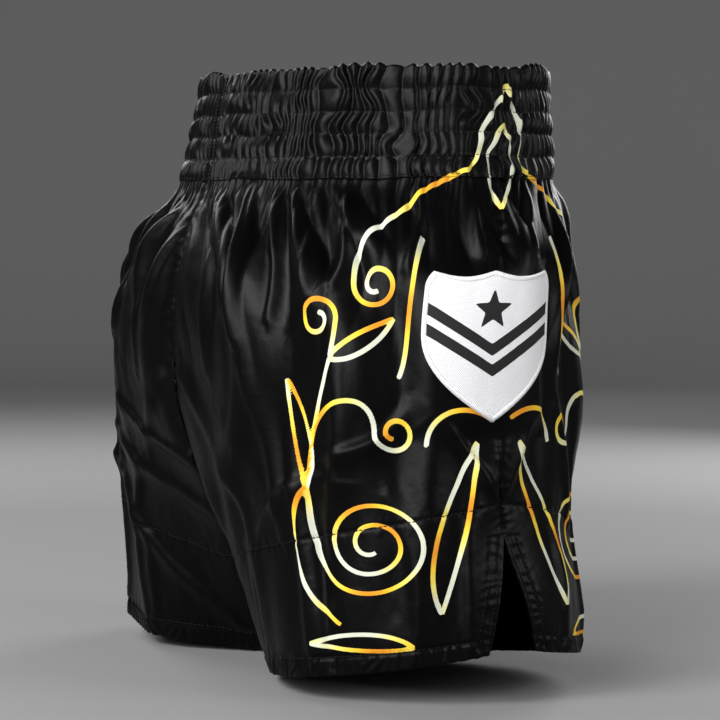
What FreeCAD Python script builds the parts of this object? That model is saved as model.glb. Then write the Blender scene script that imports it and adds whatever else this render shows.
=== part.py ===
"""Satin boxing shorts: gathered elastic waistband, two wide legs with a slit at each outer side.

Frame: millimetres, +Z up. The wearer faces -Y, so the wearer's right is -X. The origin is at the middle
of the bounding box, on the floor under the hems. Cloth is drawn smooth and thicker than it is.
A point on the cloth is given by its side of the body (RIGHT or LEFT), its height and its distance round
the cloth from that side's side seam, positive towards the back.
"""
import FreeCAD, Part
import math
import os

V = FreeCAD.Vector
RIGHT, LEFT = -1, 1
SIDES = (("right", RIGHT), ("left", LEFT))

# Overall sizes
HEIGHT = 378.0          # hems to the top of the waistband
BAND_HEIGHT = 68.0      # height of the gathered waistband
BODY_TOP = HEIGHT - BAND_HEIGHT
CROTCH = 112.0          # height of the crotch point
RISE_TOP = 199.0        # height where the seat seam starts to turn under
SLIT_TOP = 89.0         # height where each side slit starts
SLIT_HALF = 17.0        # half the slit's opening at the hem
HEM_RISE = 32.0         # how much higher the hem is at the slit
HEM_REACH = 270.0       # how far round from the slit the hem is curved
HEM_SPREAD = 130.0      # height over which the cloth follows the hem's curve
SHIFT_Y = -9.8          # puts the bounding box's middle on the origin

# Layers
CLOTH = 1.2             # body panels and casing
FACING = 0.7            # turned edges, seam allowances and linings
CLEAR = 0.15            # gap between one layer and the next
THREAD = 0.45           # how far stitching stands out
CENTRE_GAP = 0.5        # each half stops this far from the middle plane
SEAM_GAP = 0.2          # each panel stops this far from its side seam line
SEAT_ALLOWANCE = 7.0    # width of the seam allowances at the middle
SIDE_ALLOWANCE = 5.0    # and to each side of the side seam
INSEAM_ALLOWANCE = 8.0
INSEAM_GAP = 0.6        # each inseam allowance stops this far from the inseam
FACING_NEAR = 1.0       # from the slit's edge to its turned edge, near side
FACING_FAR = 12.0       # and far side

# Linings of the legs, and stitching
LINING_LOW = 2.0        # height of a lining's foot
LINING_LEAST = 68.0     # height of a lining's top at the inseam
LINING_RISE = 46.0      # how much higher it is at the side
LINING_REACH = 260.0    # how far round from the side it comes down
SEAM_CLEAR = 11.0       # a lining stops this far from the inseam
SLIT_CLEAR = 14.0       # and this far from the slit
HEM_LINE = 14.0         # height of the hem's stitching
TOPSTITCH = 0.8         # width of a line of thread
SLIT_ROWS = (3.0, 10.0)  # distances of the slit's lines of thread from its edge
TACK_HALF = 6.0         # half the bar tack's width
TACK_THICK = 1.0

# Waistband
CHANNELS = 5            # elastic channels, one elastic each
CHANNEL = BAND_HEIGHT / CHANNELS
ELASTIC_HEIGHT = 11.0
ELASTIC_THICK = 1.4
CAVITY = ELASTIC_THICK + 2 * CLEAR
STITCH_RADIUS = 0.4

# Badge on each hip
BADGE_MIDDLE = 210.0    # height of the badge's middle
BADGE_HEIGHT = 88.0
BADGE_HALF = 42.0
BADGE_SHIFT = 6.0       # how far the badge is behind the side seam line
BADGE_EDGE = 3.0        # width of the stitched border
TWILL = 0.7

# The cloth's outline: height, half width at the side, offset of each leg's middle from the middle plane,
# middle in y, depth to the back, depth to the front, and y of the side seam
STATIONS = (
    (378.0, 149.0, 0.0, -10.0, 104.0, 104.0, -34.0),
    (310.0, 159.0, 0.0, -4.0, 112.0, 112.0, -22.0),
    (264.0, 192.0, 24.0, 1.0, 127.0, 114.0, -6.0),
    (219.0, 205.0, 46.0, 5.0, 131.0, 112.0, 4.0),
    (164.0, 209.0, 56.0, 9.0, 125.0, 112.0, 5.0),
    (94.0, 214.0, 87.0, 11.0, 110.0, 104.0, 2.0),
    (0.0, 218.0, 123.0, 13.0, 97.0, 97.0, 0.0),
)


def smooth(x):
    x = min(1.0, max(0.0, x))
    return x * x * (3 - 2 * x)


def station(z):
    """The outline's six sizes at a height, by a smooth curve through the stations."""
    table = STATIONS[::-1]
    i = 0
    while i < len(table) - 2 and z > table[i + 1][0]:
        i += 1
    low, high = table[i], table[i + 1]
    span = high[0] - low[0]
    t = (z - low[0]) / span
    found = []
    for k in range(1, 7):
        def slope(n):
            before, after = table[max(0, n - 1)], table[min(len(table) - 1, n + 1)]
            return (after[k] - before[k]) / (after[0] - before[0])
        found.append((2 * t**3 - 3 * t**2 + 1) * low[k] + (t**3 - 2 * t**2 + t) * span * slope(i)
                     + (3 * t**2 - 2 * t**3) * high[k] + (t**3 - t**2) * span * slope(i + 1))
    return found


def section(z):
    """One half's outline at a height, as points (distance from the middle plane, y) from the back seam
    or inseam round the side to the front, and how far along them the side seam is."""
    half, middle, yc, back, front, seam_y = station(z)
    radius = half - middle
    spare = middle - radius
    inner = CENTRE_GAP + (spare + math.hypot(spare, 8.0)) / 2
    corner = math.acos(max(-1.0, (inner - middle) / radius))
    closed = smooth((z - CROTCH) / (RISE_TOP - CROTCH))
    wall = [n / 12 for n in range(12)]
    points = [(inner, yc + back * math.sin(corner) * (closed + (1 - closed) * t)) for t in wall]
    for n in range(121):
        a = corner * (1 - n / 60)
        depth = back if a > 0 else front
        points.append((middle + radius * math.cos(a), yc + depth * math.sin(a)))
    points += [(inner, yc - front * math.sin(corner) * (closed + (1 - closed) * t)) for t in wall[::-1]]
    travel = [0.0]
    for p, q in zip(points, points[1:]):
        travel.append(travel[-1] + math.hypot(q[0] - p[0], q[1] - p[1]))
    side = next(n for n, p in enumerate(points) if n > 20 and p[1] < seam_y and p[0] > middle)
    p, q = points[side - 1], points[side]
    share = (p[1] - seam_y) / (p[1] - q[1])
    return points, travel, travel[side - 1] + share * (travel[side] - travel[side - 1])


_sections = {}  # outlines already worked out


def cached_section(z):
    key = round(z, 3)
    if key not in _sections:
        _sections[key] = section(key)
    return _sections[key]


def reach(z):
    """Lengths of cloth from the side seam to the back seam and to the front seam."""
    _, travel, side = cached_section(z)
    return side, travel[-1] - side


def free_reach(z):
    """The same lengths, only as far as the cloth stays clear of the other leg."""
    points, travel, side = cached_section(z)
    free = [d for p, d in zip(points, travel) if p[0] > 5.0]
    return side - free[0], free[-1] - side


def on_cloth(side, z, s):
    """The point on the outer face of the cloth, at distance s behind the side seam."""
    points, travel, seam = cached_section(z)
    d = min(travel[-1] - 1e-6, max(0.0, seam - s))
    lo, hi = 0, len(travel) - 1
    while hi - lo > 1:
        mid = (lo + hi) // 2
        lo, hi = (mid, hi) if travel[mid] <= d else (lo, mid)
    gap = travel[hi] - travel[lo]
    t = (d - travel[lo]) / gap if gap > 1e-9 else 0.0
    p, q = points[lo], points[hi]
    return V(side * (p[0] + t * (q[0] - p[0])), p[1] + t * (q[1] - p[1]) + SHIFT_Y, z)


def outward(side, z, s):
    """The cloth's outward direction there."""
    along = on_cloth(side, z, s + 1.5) - on_cloth(side, z, s - 1.5)
    up = on_cloth(side, z + 1.5, s) - on_cloth(side, z - 1.5, s)
    n = along.cross(up)
    n.normalize()
    return n * side


def hem_lift(z, s):
    """How far the hem's curve lifts the cloth at this height."""
    curve = max(0.0, 1 - abs(s) / HEM_REACH) ** 1.2
    return HEM_RISE * curve * max(0.0, 1 - z / HEM_SPREAD)


def slit_edge(z):
    return max(SEAM_GAP, SLIT_HALF * (1 - z / SLIT_TOP))


def surface(rows):
    made = Part.BSplineSurface()
    made.interpolate(rows)
    return made


def closed_solid(outer, inner):
    """The solid between two faces given as grids of points of the same size."""
    a, b = surface(outer), surface(inner)
    u0, u1, v0, v1 = a.bounds()
    w0, w1, x0, x1 = b.bounds()
    pairs = ((a.uIso(u0), b.uIso(w0)), (a.uIso(u1), b.uIso(w1)),
             (a.vIso(v0), b.vIso(x0)), (a.vIso(v1), b.vIso(x1)))
    faces = [a.toShape(), b.toShape()]
    faces += [Part.makeRuledSurface(p.toShape(), q.toShape()) for p, q in pairs]
    shell = Part.makeCompound(faces)
    shell.sewShape(0.01)
    solid = Part.makeSolid(shell.Shells[0])
    if solid.Volume < 0:
        solid.reverse()
    return solid


def sheet(side, places, out, thick):
    """A sheet of cloth over the given places, rows of (height, distance from the side seam). Its outer
    face stands out from the body's outer face by out, which is negative for a layer inside."""
    outer, inner = [], []
    for row in places:
        points = [(on_cloth(side, z, s), outward(side, z, s)) for z, s in row]
        outer.append([p + n * out for p, n in points])
        inner.append([p + n * (out - thick) for p, n in points])
    return closed_solid(outer, inner)


def steps(first, last, count):
    return [first + (last - first) * n / (count - 1) for n in range(count)]


def lifted(z, s):
    return z + hem_lift(z, s), s


def half_panel(side, back):
    """A front or back body panel, from the waistband to the hem, cut flat where it can stand."""
    below = -1.0
    rows = []
    for z in steps(BODY_TOP, below, 25):
        seam_reach = reach(max(z, 0.0))[0 if back else 1]
        places = steps(slit_edge(max(z, 0.0)), seam_reach, 29)
        rows.append([lifted(z, s if back else -s) for s in places])
    made = sheet(side, rows, 0.0, CLOTH)
    under = Part.makeBox(700, 700, 20, V(-350, -350, -20))
    return made.cut(under)


def strip(side, heights, first, last, out, thick, columns=5):
    """A strip up the cloth between two distances that may change with height."""
    rows = [[lifted(z, s) for s in steps(first(z), last(z), columns)] for z in heights]
    return sheet(side, rows, out, thick)


def band(side, first_s, last_s, low, high, out, thick, columns=17):
    """A band round the cloth between two heights that may change with the distance."""
    rows = [[lifted(low(s) + (high(s) - low(s)) * t, s) for s in steps(first_s, last_s, columns)]
            for t in (1.0, 0.5, 0.0)]
    return sheet(side, rows, out, thick)


def oval(z, inset):
    """The waistband's outline at a height, moved in by inset. It is straight up and down between its ends."""
    top, foot = STATIONS[0], STATIONS[1]
    t = (z - foot[0]) / (top[0] - foot[0])
    half, yc, depth = (foot[k] + (top[k] - foot[k]) * t for k in (1, 3, 4))
    curve = Part.Ellipse(V(0, yc + SHIFT_Y, z), half - inset, depth - inset)
    return Part.Wire([curve.toShape()])


def ring(low, high, inset, thick):
    walls = [Part.makeLoft([oval(low, i), oval(high, i)], True, True) for i in (inset, inset + thick)]
    return walls[0].cut(walls[1])


def waistband_casing():
    """The folded satin strip: an outer wall, the fold over the top and an inner wall."""
    whole = ring(BODY_TOP, HEIGHT, 0.0, 2 * CLOTH + CAVITY)
    return whole.cut(ring(BODY_TOP - 1, HEIGHT - CLOTH, CLOTH, CAVITY))


def waist_elastic(number):
    low = BODY_TOP + (number - 0.5) * CHANNEL - ELASTIC_HEIGHT / 2 - CLOTH / 2
    return ring(low, low + ELASTIC_HEIGHT, CLOTH + CLEAR, ELASTIC_THICK)


def waistband_stitching():
    """One round of thread along each channel's edge, on the casing's outer face."""
    rounds = []
    for n in range(CHANNELS):
        z = BODY_TOP + n * CHANNEL + (2.0 if n == 0 else 0.0)
        path = oval(z, -STITCH_RADIUS - CLEAR)
        rim = Part.Wire([Part.Circle(path.Vertexes[0].Point, V(0, 1, 0), STITCH_RADIUS).toShape()])
        rounds.append(path.makePipeShell([rim], True, False))
    return Part.makeCompound(rounds)


def waistband_join():
    """The strip that covers the casing's closing seam, inside the middle of the back."""
    inset = 2 * CLOTH + CAVITY + CLEAR
    whole = ring(BODY_TOP + 3, HEIGHT - 3, inset, FACING)
    return whole.common(Part.makeBox(12, 200, HEIGHT, V(-6, 0, 0)))


def seat_seam(back):
    """The seam allowance that joins the two halves, from the waistband down to the crotch point."""
    inward = -1 if back else 1
    line = []
    for z in steps(BODY_TOP - 0.5, CROTCH + 1, 40):
        point = cached_section(z)[0][0 if back else -1]
        line.append(V(-CENTRE_GAP + CLEAR / 2, point[1] + SHIFT_Y, z))
    outer = [p + V(0, inward * CLEAR, 0) for p in line]
    inner = []
    for n, p in enumerate(outer):
        run = outer[min(n + 1, len(outer) - 1)] - outer[max(n - 1, 0)]
        normal = V(0, run.z, -run.y)
        normal.normalize()
        inner.append(p + normal * SEAT_ALLOWANCE * (1 if back else -1))
    curves = [Part.BSplineCurve(), Part.BSplineCurve()]
    curves[0].interpolate(outer)
    curves[1].interpolate(inner)
    ends = [Part.makeLine(outer[0], inner[0]), Part.makeLine(outer[-1], inner[-1])]
    edges = [curves[0].toShape(), ends[1], curves[1].toShape(), ends[0]]
    face = Part.Face(Part.Wire(Part.__sortEdges__(edges)))
    return face.extrude(V(2 * CENTRE_GAP - CLEAR, 0, 0))


def side_seam(side):
    inside = -CLOTH - CLEAR
    edges = [lambda z: -SIDE_ALLOWANCE, lambda z: SIDE_ALLOWANCE]
    return strip(side, steps(BODY_TOP - 1, SLIT_TOP + 2, 22), *edges, inside, FACING)


def inseam(side):
    """The two seam allowances inside the leg, under the crotch point."""
    inside = -CLOTH - CLEAR
    heights = steps(CROTCH - 4, 3, 9)
    allowances = []
    for way, n in ((1, 0), (-1, 1)):
        near, far = (lambda z, w=way, k=n: w * (reach(z)[k] - INSEAM_ALLOWANCE)), \
            (lambda z, w=way, k=n: w * (reach(z)[k] - INSEAM_GAP))
        allowances.append(strip(side, heights, near, far, inside, FACING))
    return Part.makeCompound(allowances)


def slit_facing(side, back):
    """The turned edge down one side of the slit."""
    way = 1 if back else -1
    heights = steps(SLIT_TOP - 3, 2, 9)
    edges = [lambda z: way * (slit_edge(z) + FACING_NEAR), lambda z: way * (slit_edge(z) + FACING_FAR)]
    return strip(side, heights, edges[0], edges[1], -CLOTH - CLEAR, FACING)


def lining_top(s):
    """The lining is higher at the side than at the inseam."""
    return LINING_LEAST + LINING_RISE * max(0.0, 1 - abs(s) / LINING_REACH)


def hem_lining(side, back):
    """The second layer of cloth inside the foot of the leg, from the slit's turned edge to the inseam."""
    way = 1 if back else -1
    first = way * (SLIT_HALF + SLIT_CLEAR)
    last = way * (reach(0.0)[0 if back else 1] - SEAM_CLEAR)
    return band(side, first, last, lambda s: LINING_LOW, lining_top, -CLOTH - CLEAR, FACING, 21)


def topstitch(side, back, height):
    """A line of thread round the outside of the leg, at a height that may change round it."""
    way = 1 if back else -1
    first = way * (SLIT_HALF + 2)
    ends = [free_reach(z)[0 if back else 1] for z in (0.0, height(300.0))]
    last = way * (min(ends) - 1)
    return band(side, first, last, lambda s: height(s) - TOPSTITCH, height, CLEAR + THREAD, THREAD, 21)


def leg_stitching(side, height):
    return Part.makeCompound([topstitch(side, back, height) for back in (True, False)])


def slit_stitching(side):
    """Two lines of thread down each edge of the slit."""
    lines = []
    for way in (1, -1):
        for inset in SLIT_ROWS:
            near, far = (lambda z, i=inset, w=way: w * (slit_edge(z) + i)), \
                (lambda z, i=inset, w=way: w * (slit_edge(z) + i + TOPSTITCH))
            lines.append(strip(side, steps(SLIT_TOP - 2, 14, 7), near, far, CLEAR + THREAD, THREAD, 3))
    return Part.makeCompound(lines)


def slit_bartack(side):
    """The dense stitching that stops the slit from tearing further."""
    heights = steps(SLIT_TOP + 4.5, SLIT_TOP + 1, 4)
    return strip(side, heights, lambda z: -TACK_HALF, lambda z: TACK_HALF, CLEAR + TACK_THICK, TACK_THICK)


def badge_half_width(t, edge):
    """Half the badge's width, for t from 0 at its top to 1 at its point."""
    full = BADGE_HALF - edge
    return full if t < 0.4 else max(0.8, full * (1 - ((t - 0.4) / 0.6) ** 2.2))


def badge_sheet(side, edge, out, thick):
    top = BADGE_MIDDLE + BADGE_HEIGHT / 2 - edge
    tall = BADGE_HEIGHT - 2.2 * edge
    rows = []
    for t in steps(0.0, 1.0, 15):
        half = badge_half_width(t, edge)
        rows.append([(top - tall * t, s + BADGE_SHIFT) for s in steps(-half, half, 11)])
    return sheet(side, rows, out, thick)


def badge_backing(side):
    return badge_sheet(side, 0.0, CLEAR + TWILL, TWILL)


def badge_face(side):
    return badge_sheet(side, BADGE_EDGE, 2 * CLEAR + 2 * TWILL, TWILL)


def badge_border(side):
    """The satin stitch round the face, on the backing."""
    rope = badge_sheet(side, 0.3, 2 * CLEAR + 2 * TWILL + 0.2, TWILL)
    return rope.cut(badge_sheet(side, BADGE_EDGE - CLEAR, 4.0, 8.0))


def hem_line(s):
    return HEM_LINE


def build():
    nodes = {
        "waistband_casing": waistband_casing(),
        "waistband_stitching": waistband_stitching(),
        "waistband_join": waistband_join(),
        "centre_back_seam": seat_seam(True),
        "centre_front_seam": seat_seam(False),
    }
    for number in range(1, CHANNELS + 1):
        nodes[f"waist_elastic_{number}"] = waist_elastic(number)
    for word, side in SIDES:
        for face, back in (("back", True), ("front", False)):
            nodes[f"{word}_{face}_panel"] = half_panel(side, back)
            nodes[f"{word}_{face}_slit_facing"] = slit_facing(side, back)
            nodes[f"{word}_{face}_hem_lining"] = hem_lining(side, back)
        nodes[f"{word}_side_seam"] = side_seam(side)
        nodes[f"{word}_inseam"] = inseam(side)
        nodes[f"{word}_hem_stitching"] = leg_stitching(side, hem_line)
        nodes[f"{word}_lining_stitching"] = leg_stitching(side, lining_top)
        nodes[f"{word}_slit_stitching"] = slit_stitching(side)
        nodes[f"{word}_slit_bartack"] = slit_bartack(side)
        nodes[f"{word}_badge_backing"] = badge_backing(side)
        nodes[f"{word}_badge_face"] = badge_face(side)
        nodes[f"{word}_badge_border"] = badge_border(side)
    return nodes


os.makedirs("parts", exist_ok=True)
for name, shape in build().items():
    shape.exportStep(f"parts/{name}.step")
    box = shape.optimalBoundingBox(False)
    print(f"{name:28s} solids {len(shape.Solids)} valid {shape.isValid()} volume {shape.Volume:10.1f} "
          f"x {box.XMin:7.1f} {box.XMax:7.1f} y {box.YMin:7.1f} {box.YMax:7.1f} "
          f"z {box.ZMin:6.1f} {box.ZMax:6.1f}")
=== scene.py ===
"""Satin boxing shorts: the visual model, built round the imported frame.

Lengths are in millimetres until a mesh is made. The stage, the lights and the camera are in metres. A place
on the cloth is (side, z, s): the leg, the height in the flat cut, and the distance round from the side seam,
positive towards the back.
"""
import functools
import math
import bpy
import numpy as np
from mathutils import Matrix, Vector, kdtree


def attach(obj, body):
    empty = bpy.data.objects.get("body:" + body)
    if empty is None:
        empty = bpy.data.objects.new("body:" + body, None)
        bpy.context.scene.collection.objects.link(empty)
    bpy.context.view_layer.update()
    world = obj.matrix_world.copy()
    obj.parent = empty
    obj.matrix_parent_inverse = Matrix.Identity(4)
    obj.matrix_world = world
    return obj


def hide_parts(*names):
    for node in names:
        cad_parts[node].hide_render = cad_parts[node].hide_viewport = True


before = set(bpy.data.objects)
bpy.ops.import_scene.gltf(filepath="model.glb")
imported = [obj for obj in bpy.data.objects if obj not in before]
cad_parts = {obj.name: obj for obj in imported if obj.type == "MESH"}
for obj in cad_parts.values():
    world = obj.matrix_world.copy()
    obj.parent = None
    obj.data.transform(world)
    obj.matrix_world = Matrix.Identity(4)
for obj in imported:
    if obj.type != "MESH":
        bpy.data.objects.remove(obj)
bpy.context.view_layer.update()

MM = 0.001
RIGHT, LEFT = -1, 1
SIDES = (("right", RIGHT), ("left", LEFT))
FACES = (("back", True), ("front", False))

# ---- The cut and its outline, as in the CAD model ----
HEIGHT = 378.0
BAND_HEIGHT = 68.0
BODY_TOP = HEIGHT - BAND_HEIGHT
CROTCH = 112.0
RISE_TOP = 199.0
SLIT_TOP = 89.0
SLIT_HALF = 17.0
HEM_RISE = 32.0
HEM_REACH = 270.0
HEM_SPREAD = 130.0
SHIFT_Y = -9.8
CENTRE_GAP = 0.5
CENTRE_SOFT = 8.0  # how gently a leg's inner wall comes away from the middle plane
WALL_STEPS, ARC_STEPS = 12, 90
CHANNELS = 5
CHANNEL = BAND_HEIGHT / CHANNELS
# height, half width, offset of each leg's middle, middle in y, depth to the back, to the front, y of the seam
STATIONS = (
    (378, 149, 0, -10, 104, 104, -34),
    (310, 159, 0, -4, 112, 112, -22),
    (264, 192, 24, 1, 127, 114, -6),
    (219, 205, 46, 5, 131, 112, 4),
    (164, 209, 56, 9, 125, 112, 5),
    (94, 214, 87, 11, 110, 104, 2),
    (0, 218, 123, 13, 97, 97, 0),
)


def smooth(x):
    x = np.clip(x, 0.0, 1.0)
    return x * x * (3 - 2 * x)


def unit(vectors):
    return vectors / np.maximum(np.linalg.norm(vectors, axis=-1, keepdims=True), 1e-9)


def distance_along(points):
    """The distance from a line's first point to each of its points."""
    return np.concatenate([[0], np.cumsum(np.linalg.norm(np.diff(points, axis=0), axis=1))])


def station(z):
    """The values of STATIONS at any height, on a smooth curve through the listed ones."""
    table = np.array(STATIONS[::-1], float)
    last = len(table) - 1
    i = int(np.clip(np.searchsorted(table[:, 0], z) - 1, 0, last - 1))
    low, high = table[i], table[i + 1]
    steps = (table[min(n + 1, last)] - table[max(n - 1, 0)] for n in (i, i + 1))
    low_slope, high_slope = (step / step[0] for step in steps)
    span = high[0] - low[0]
    t = (z - low[0]) / span
    values = ((2 * t**3 - 3 * t**2 + 1) * low + (t**3 - 2 * t**2 + t) * span * low_slope
              + (3 * t**2 - 2 * t**3) * high + (t**3 - t**2) * span * high_slope)
    return values[1:]


@functools.cache
def section_at(z):
    half, middle, yc, back, front, seam_y = station(z)
    radius = half - middle
    spare = middle - radius
    inner = CENTRE_GAP + (spare + math.hypot(spare, CENTRE_SOFT)) / 2
    corner = math.acos(max(-1.0, (inner - middle) / radius))
    closed = float(smooth((z - CROTCH) / (RISE_TOP - CROTCH)))
    reach_in = math.sin(corner) * (closed + (1 - closed) * np.arange(WALL_STEPS) / WALL_STEPS)
    a = corner * (1 - np.arange(2 * ARC_STEPS + 1) / ARC_STEPS)
    wall = np.full(WALL_STEPS, inner)
    x = np.concatenate([wall, middle + radius * np.cos(a), wall])
    y = np.concatenate([yc + back * reach_in, yc + np.where(a > 0, back, front) * np.sin(a),
                        yc - front * reach_in[::-1]])
    travel = distance_along(np.stack([x, y], -1))
    side = int(np.argmax((y < seam_y) & (x > middle)))
    share = (y[side - 1] - seam_y) / (y[side - 1] - y[side])
    return x, y, travel, travel[side - 1] + share * (travel[side] - travel[side - 1])


def section(z):
    """One half's outline at a height: x and y from the back seam round the side to the front seam, the
    distance travelled along it, and how far along the side seam is."""
    return section_at(round(float(z), 2))


HEIGHTS = np.linspace(0, HEIGHT, int(HEIGHT) + 1)
REACH_BACK = np.array([section(z)[3] for z in HEIGHTS])
REACH_FRONT = np.array([section(z)[2][-1] - section(z)[3] for z in HEIGHTS])


def seam_reach(z, back):
    """Length of cloth from the side seam to the back or front seam."""
    return np.interp(z, HEIGHTS, REACH_BACK if back else REACH_FRONT)


def slit_edge(z):
    return np.maximum(0.0, SLIT_HALF * (1 - np.asarray(z, float) / SLIT_TOP))


def hem_lift(z, s):
    curve = np.maximum(0.0, 1 - np.abs(s) / HEM_REACH) ** 1.2
    return HEM_RISE * curve * np.maximum(0.0, 1 - np.asarray(z, float) / HEM_SPREAD)


def outline(side, z, s):
    """Points of the smooth outline at one height, for an array of distances."""
    x, y, travel, seam = section(z)
    d = np.clip(seam - s, 0, travel[-1])
    lifted = z + hem_lift(z, s)
    return np.stack([side * np.interp(d, travel, x), np.interp(d, travel, y) + SHIFT_Y, lifted], -1)


# ---- Repeatable noise ----
NOISE_ROWS = 256


def lattice(seed, *shape):
    return np.random.default_rng(seed).uniform(-1, 1, shape)


def noise1(x, seed, period=4096):
    """Smooth noise from -1 to 1 over x, which repeats after period whole numbers."""
    table = lattice(seed, period)
    i = np.floor(x).astype(int)
    t = smooth(x - i)
    return table[i % period] * (1 - t) + table[(i + 1) % period] * t


def noise2(x, y, seed, period=256):
    """Smooth noise from -1 to 1 over x and y. It repeats in x after period whole numbers."""
    table = lattice(seed, period, NOISE_ROWS)
    i, j = np.floor(x).astype(int), np.floor(y).astype(int)
    tx, ty = smooth(x - i), smooth(y - j)
    i0, i1, j0, j1 = i % period, (i + 1) % period, j % NOISE_ROWS, (j + 1) % NOISE_ROWS
    low = table[i0, j0] * (1 - tx) + table[i1, j0] * tx
    high = table[i0, j1] * (1 - tx) + table[i1, j1] * tx
    return low * (1 - ty) + high * ty


# ---- Grids of cloth ----
ROWS, COLUMNS = ((214, 206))
INSET = 2.2  # how far inside the outline the cloth hangs, so its folds reach it


def panel_labels(back):
    """Height and distance of each point of a panel's grid."""
    z = np.linspace(BODY_TOP, 0, ROWS)[:, None]
    near, far = slit_edge(z), seam_reach(z, back)
    s = near + (far - near) * np.linspace(0, 1, COLUMNS)[None, :]
    return np.broadcast_to(z, s.shape).copy(), s if back else -s


def turn_sign(side, back):
    """Whether a panel's columns crossed with its rows point out of the cloth (1) or into it (-1)."""
    return -side if back else side


def grid_normals(points, sign):
    across = np.gradient(points, axis=1)
    down = np.gradient(points, axis=0)
    return unit(np.cross(across, down) * sign)


def base_panel(side, back):
    """A panel's grid on the smooth outline."""
    z, s = panel_labels(back)
    return np.stack([outline(side, z[i, 0], s[i]) for i in range(ROWS)])


# ---- Folds ----
def pleat(x):
    """Round ridges with sharp valleys between them, one for each whole number of x."""
    return 2 * np.abs(np.sin(np.pi * x)) ** 0.8 - 1


def gathers(side, z, s):
    """Folds that hang from the waistband: narrow at the top, wider and fewer further down."""
    fall = BODY_TOP - z
    key = 3 if side == LEFT else 0
    length = 1.0 + 0.75 * noise2(s / 11 + 50, 3.5, 17 + key)
    narrow = pleat(s / 11 + 0.7 * noise2(s / 26 + 50, fall / 45, 11 + key))
    middle = pleat(s / 24 + 0.75 * noise2(s / 40 + 50, fall / 60, 12 + key))
    wide = np.cos(2 * np.pi * (s / 66 + 0.7 * noise2(s / 90 + 50, fall / 110, 13 + key)))
    patchy = 0.75 + 0.45 * noise2(s / 18 + 90, fall / 50, 14 + key)
    broad = noise2(s / 48 + 30, fall / 70, 15 + key)
    relief = 1.5 * narrow * length * np.exp(-(fall / (22 * length + 8)) ** 1.4)
    grown = 0.35 + 0.65 * smooth(fall / 14)
    relief += 2.9 * middle * patchy * grown * np.exp(-(fall / (52 + 30 * length)) ** 1.7)
    relief += 3.4 * wide * smooth(fall / 50) * np.exp(-(fall / 240) ** 2)
    return relief + 4.4 * broad * smooth(fall / 40)


# Single folds as (places along it, half width, height). A place is (distance from the side seam, height),
# and a negative height is a crease.
BACK_FOLDS = (
    (((154, 308), (156, 284), (148, 262), (150, 226)), 6, 3.6),
    (((176, 308), (172, 276), (184, 250), (176, 214)), 8, 3.8),
    (((132, 308), (138, 280), (126, 258), (120, 232)), 6, 2.8),
    (((205, 308), (210, 270), (222, 236), (218, 190)), 8, 3),
    (((96, 308), (100, 286), (92, 268), (104, 246)), 5, 2.6),
    (((140, 176), (134, 134), (130, 70), (127, 6)), 8, 2.6),
    (((126, 132), (120, 104), (116, 56), (114, 6)), 7, -2.4),
    (((168, 196), (160, 160), (150, 130), (146, 92)), 11, 2.6),
    (((300, 206), (262, 190), (232, 160), (214, 126)), 10, 2.2),
    (((338, 98), (326, 66), (322, 36), (318, 8)), 6, -2),
    (((196, 84), (192, 56), (194, 30), (190, 6)), 9, 1.8),
    (((128, 300), (116, 274), (122, 250), (134, 222)), 9, 2.4),
    (((112, 308), (90, 286), (96, 262), (114, 238)), 7, 3),
    (((196, 250), (176, 228), (170, 190), (188, 150)), 12, 1.8),
    (((206, 126), (186, 112), (176, 70), (182, 8)), 10, 2.8),
    (((4, 122), (14, 140), (26, 158), (44, 176)), 5, 2.2),
    (((56, 178), (64, 160), (80, 150), (106, 146)), 7, 2.8),
    (((104, 132), (128, 134), (150, 120), (170, 96)), 10, 2.4),
    (((72, 122), (60, 90), (56, 50), (60, 6)), 9, 2.4),
    (((100, 196), (94, 166), (104, 134), (112, 96)), 9, 2.4),
    (((24, 104), (30, 80), (28, 44), (30, 6)), 6, 1.8),
    (((54, 308), (48, 290), (58, 276), (60, 256)), 5, 2.6),
    (((20, 308), (14, 294), (22, 282), (14, 266)), 6, 2.4),
)
# Folds in the seat, which pull across each leg in the same direction.
SEAT_FOLDS = {
    RIGHT: ((((312, 168), (280, 146), (246, 120), (226, 64)), 9, 2.4),
            (((340, 138), (304, 112), (276, 74), (262, 12)), 7, 2.2)),
    LEFT: ((((160, 148), (193, 124), (250, 104), (308, 90)), 9, 2.7),
           (((176, 170), (208, 148), (256, 136), (300, 130)), 7, 2.2),
           (((152, 128), (170, 96), (208, 58), (258, 24)), 8, 2.3)),
}
FRONT_FOLDS = (
    (((-60, 308), (-66, 280), (-58, 256), (-64, 226)), 6, 3),
    (((-104, 308), (-98, 274), (-110, 246), (-104, 206)), 8, 3.4),
    (((-150, 308), (-158, 272), (-150, 240), (-160, 196)), 8, 3.2),
    (((-190, 308), (-184, 276), (-194, 244), (-188, 204)), 7, 2.8),
    (((-86, 170), (-92, 130), (-86, 80), (-90, 8)), 8, 2.2),
    (((-290, 170), (-250, 140), (-214, 108), (-192, 50)), 9, 2.6),
    (((-300, 118), (-268, 92), (-246, 54), (-238, 8)), 7, 2),
    (((-150, 150), (-140, 110), (-146, 70), (-140, 8)), 9, 2),
    (((-4, 122), (-14, 142), (-24, 160), (-36, 178)), 5, 2.2),
    (((-22, 308), (-28, 292), (-18, 282), (-24, 268)), 6, 2.4),
    (((-58, 172), (-70, 150), (-66, 120), (-76, 92)), 8, 2.4),
    (((-44, 100), (-48, 70), (-44, 40), (-46, 6)), 8, 2),
)
FOLD_STEEPER = 0.48  # how much narrower a fold is on its steep side
FOLD_GAIN = 1.45  # what the listed heights are multiplied by
FOLD_POINTS = 36
LEFT_SHIFT = 5.0


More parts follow.
